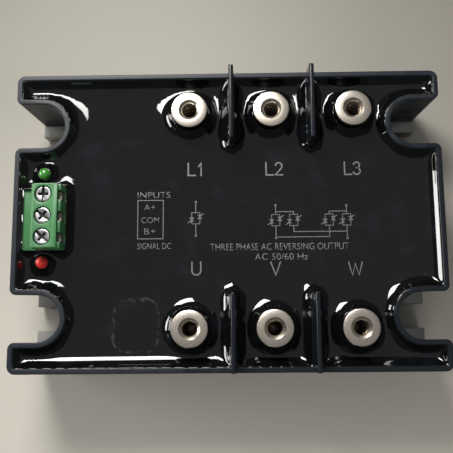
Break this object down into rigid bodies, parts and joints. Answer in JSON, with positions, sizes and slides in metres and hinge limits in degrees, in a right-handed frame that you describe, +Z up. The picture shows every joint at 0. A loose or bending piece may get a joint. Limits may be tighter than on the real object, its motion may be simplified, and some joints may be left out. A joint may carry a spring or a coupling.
{
  "type": "solid state relay",
  "caption": "Potted three-phase reversing solid state relay in an open black frame on a metal base, with round screw terminals, barrier fins, a green control terminal block and lamps.",
  "frame": {"origin": "middle of the underside of the base plate", "axes": "+X along the length, away from the control terminal block; +Y across the width, towards the line terminals; +Z up, out of the resin face"},
  "size_m": [0.105, 0.0734, 0.032],
  "materials": {
    "plate_aluminium": "satin",
    "frame_plastic": "fine satin grain",
    "black_epoxy": "glossy, self-levelled",
    "clear_gel": "soft clear",
    "nickel_brass": "turned, nickel plated",
    "copper": "bare sheet copper",
    "alumina": "fired alumina ceramic",
    "silicon": "passivated chip",
    "tinned_lead": "tinned",
    "circuit_board": "solder mask",
    "chip_package": "moulded",
    "film_capacitor": "dipped",
    "resistor_body": "lacquered",
    "green_plastic": "satin moulded",
    "screw_steel": "bright zinc plated",
    "tinned_brass": "tin plated",
    "green_lens": "diffused",
    "red_lens": "diffused"
  },
  "bodies": {
    "module": {"base_plate": "plate_aluminium", "bridge_clips_1": "copper", "bridge_clips_2": "copper", "bridge_clips_3": "copper", "bridge_clips_4": "copper", "bridge_clips_5": "copper", "busbar_L1": "copper", "busbar_L2": "copper", "busbar_L3": "copper", "busbar_U": "copper", "busbar_V": "copper", "busbar_W": "copper", "ceramic_tile_1": "alumina", "ceramic_tile_2": "alumina", "ceramic_tile_3": "alumina", "ceramic_tile_4": "alumina", "ceramic_tile_5": "alumina", "control_board": "circuit_board", "copper_pads": "copper", "epoxy_fill": "black_epoxy", "gate_pins": "tinned_lead", "housing_frame": "frame_plastic", "input_resistors": "chip_package", "interlock_chip": "chip_package", "led_green": "green_lens", "led_red": "red_lens", "opto_driver_1": "chip_package", "opto_driver_2": "chip_package", "opto_driver_3": "chip_package", "opto_driver_4": "chip_package", "opto_driver_5": "chip_package", "silicone_gel": "clear_gel", "snubber_capacitors": "film_capacitor", "snubber_resistors": "resistor_body", "terminal_block_housing": "green_plastic", "terminal_post_L1": "nickel_brass", "terminal_post_L2": "nickel_brass", "terminal_post_L3": "nickel_brass", "terminal_post_U": "nickel_brass", "terminal_post_V": "nickel_brass", "terminal_post_W": "nickel_brass", "thyristor_pair_1": "silicon", "thyristor_pair_2": "silicon", "thyristor_pair_3": "silicon", "thyristor_pair_4": "silicon", "thyristor_pair_5": "silicon", "wire_contact_1": "tinned_brass", "wire_contact_2": "tinned_brass", "wire_contact_3": "tinned_brass"},
    "pressure_plate_1": {"pressure_plate_1": "tinned_brass"},
    "clamp_screw_1": {"clamp_screw_1": "screw_steel"},
    "pressure_plate_2": {"pressure_plate_2": "tinned_brass"},
    "clamp_screw_2": {"clamp_screw_2": "screw_steel"},
    "pressure_plate_3": {"pressure_plate_3": "tinned_brass"},
    "clamp_screw_3": {"clamp_screw_3": "screw_steel"}
  },
  "joints": [
    {"name": "plate_travel_1", "type": "slide", "parent": "module", "child": "pressure_plate_1", "axis": [0, 0, -1], "range_m": [0, 0.00135]},
    {"name": "screw_turn_1", "type": "hinge", "parent": "pressure_plate_1", "child": "clamp_screw_1", "pos_m": [-0.04345, 0.00538, 0.029], "axis": [0, 0, -1], "range_deg": [0, 1080]},
    {"name": "plate_travel_2", "type": "slide", "parent": "module", "child": "pressure_plate_2", "axis": [0, 0, -1], "range_m": [0, 0.00135]},
    {"name": "screw_turn_2", "type": "hinge", "parent": "pressure_plate_2", "child": "clamp_screw_2", "pos_m": [-0.04345, 0.0003, 0.029], "axis": [0, 0, -1], "range_deg": [0, 1080]},
    {"name": "plate_travel_3", "type": "slide", "parent": "module", "child": "pressure_plate_3", "axis": [0, 0, -1], "range_m": [0, 0.00135]},
    {"name": "screw_turn_3", "type": "hinge", "parent": "pressure_plate_3", "child": "clamp_screw_3", "pos_m": [-0.04345, -0.00478, 0.029], "axis": [0, 0, -1], "range_deg": [0, 1080]}
  ],
  "couplings": [
    {"joint": "screw_turn_1", "follows": "plate_travel_1", "rad_per_m": 13963},
    {"joint": "screw_turn_2", "follows": "plate_travel_2", "rad_per_m": 13963},
    {"joint": "screw_turn_3", "follows": "plate_travel_3", "rad_per_m": 13963}
  ]
}
